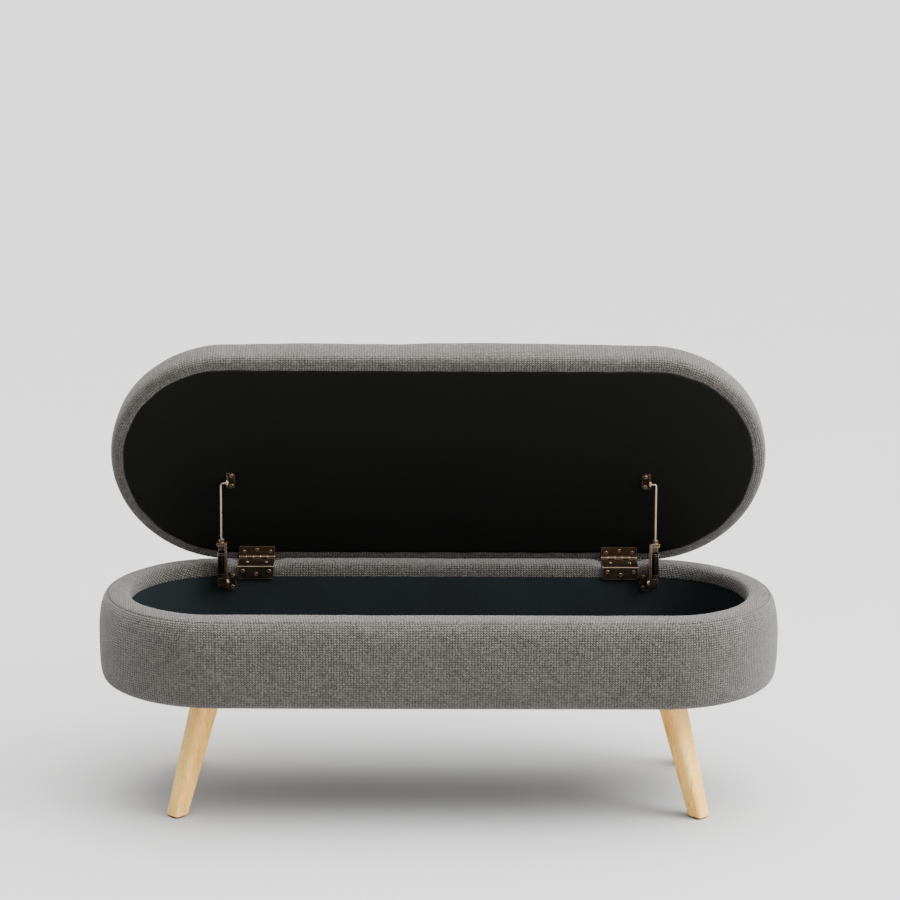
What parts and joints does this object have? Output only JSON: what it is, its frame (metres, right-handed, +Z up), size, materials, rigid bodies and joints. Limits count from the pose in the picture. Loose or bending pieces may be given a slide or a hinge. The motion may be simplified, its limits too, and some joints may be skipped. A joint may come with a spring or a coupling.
{
  "type": "storage bench",
  "caption": "Oval upholstered bench on splayed tapered wooden legs, with a padded lid hinged at the back over a lined storage box and held open by sliding stays.",
  "frame": {"origin": "on the floor under the middle of the whole outline with the lid open, 28 mm behind the middle of the base", "axes": "+X along the bench towards its right end as seen from the front, +Y towards the hinged back, +Z up"},
  "size_m": [1.1, 0.4565, 0.7251],
  "materials": {
    "cover_fabric": "chunky basket weave",
    "foam": "open-cell foam",
    "black_lining": "non-woven, matt",
    "dust_cloth": "non-woven, matt",
    "board": "raw board",
    "plywood": "raw plywood",
    "leg_wood": "natural wood, satin lacquer",
    "zinc_steel": "zinc plated",
    "bronze_steel": "antique bronze plating",
    "black_steel": "blackened wire",
    "bright_steel": "drawn steel",
    "glide_plastic": "moulded plastic"
  },
  "bodies": {
    "base": {"dust_cover": "dust_cloth", "floor_lining": "black_lining", "floor_panel": "board", "foot_glide_front_left": "glide_plastic", "foot_glide_front_right": "glide_plastic", "foot_glide_rear_left": "glide_plastic", "foot_glide_rear_right": "glide_plastic", "hanger_bolts": "zinc_steel", "hinge_base_leaf_left": "bronze_steel", "hinge_base_leaf_right": "bronze_steel", "hinge_base_screws": "bronze_steel", "hinge_pins": "bronze_steel", "inner_shell": "plywood", "leg_front_left": "leg_wood", "leg_front_right": "leg_wood", "leg_plate_front_left": "zinc_steel", "leg_plate_front_right": "zinc_steel", "leg_plate_rear_left": "zinc_steel", "leg_plate_rear_right": "zinc_steel", "leg_plate_screws": "zinc_steel", "leg_rear_left": "leg_wood", "leg_rear_right": "leg_wood", "outer_shell": "plywood", "rim_board": "board", "rim_cover": "cover_fabric", "rim_foam": "foam", "side_cover": "cover_fabric", "side_foam": "foam", "stay_base_bracket_left": "bronze_steel", "stay_base_bracket_right": "bronze_steel", "stay_base_screws": "bronze_steel", "stay_rivets": "bronze_steel", "wall_lining": "black_lining", "wall_post_end_left": "plywood", "wall_post_end_right": "plywood", "wall_post_front_left": "plywood", "wall_post_front_right": "plywood", "wall_post_rear_left": "plywood", "wall_post_rear_right": "plywood"},
    "lid": {"hinge_lid_leaf_left": "bronze_steel", "hinge_lid_leaf_right": "bronze_steel", "hinge_lid_screws": "bronze_steel", "lid_board": "board", "lid_border_cover": "cover_fabric", "lid_foam": "foam", "lid_lining": "black_lining", "lid_lining_staples": "black_steel", "lid_top_cover": "cover_fabric", "stay_lid_bracket_left": "bronze_steel", "stay_lid_bracket_right": "bronze_steel", "stay_lid_screws": "bronze_steel"},
    "stay_housing_left": {"stay_channel_left": "bronze_steel", "stay_sleeve_left": "bronze_steel", "stay_guide_left": "bronze_steel"},
    "stay_rod_left": {"stay_rod_left": "bright_steel"},
    "stay_housing_right": {"stay_channel_right": "bronze_steel", "stay_sleeve_right": "bronze_steel", "stay_guide_right": "bronze_steel"},
    "stay_rod_right": {"stay_rod_right": "bright_steel"}
  },
  "joints": [
    {"name": "lid_hinge", "type": "hinge", "parent": "base", "child": "lid", "pos_m": [0, 0.1563, 0.344], "axis": [1, 0, 0], "range_deg": [0, 73]},
    {"name": "stay_pivot_left", "type": "hinge", "parent": "base", "child": "stay_housing_left", "pos_m": [-0.351, 0.0988, 0.316], "axis": [1, 0, 0], "range_deg": [0, 79.6]},
    {"name": "stay_slide_left", "type": "slide", "parent": "stay_housing_left", "child": "stay_rod_left", "axis": [0, -0.041, -0.9992], "range_m": [0, 0.0748]},
    {"name": "stay_pivot_right", "type": "hinge", "parent": "base", "child": "stay_housing_right", "pos_m": [0.351, 0.0988, 0.316], "axis": [1, 0, 0], "range_deg": [0, 79.6]},
    {"name": "stay_slide_right", "type": "slide", "parent": "stay_housing_right", "child": "stay_rod_right", "axis": [0, -0.041, -0.9992], "range_m": [0, 0.0748]}
  ],
  "couplings": [
    {"joint": "stay_pivot_left", "follows": "lid_hinge", "ratio": 1.0898},
    {"joint": "stay_slide_left", "follows": "lid_hinge", "m_per_rad": 0.05862},
    {"joint": "stay_pivot_right", "follows": "lid_hinge", "ratio": 1.0898},
    {"joint": "stay_slide_right", "follows": "lid_hinge", "m_per_rad": 0.05862}
  ]
}
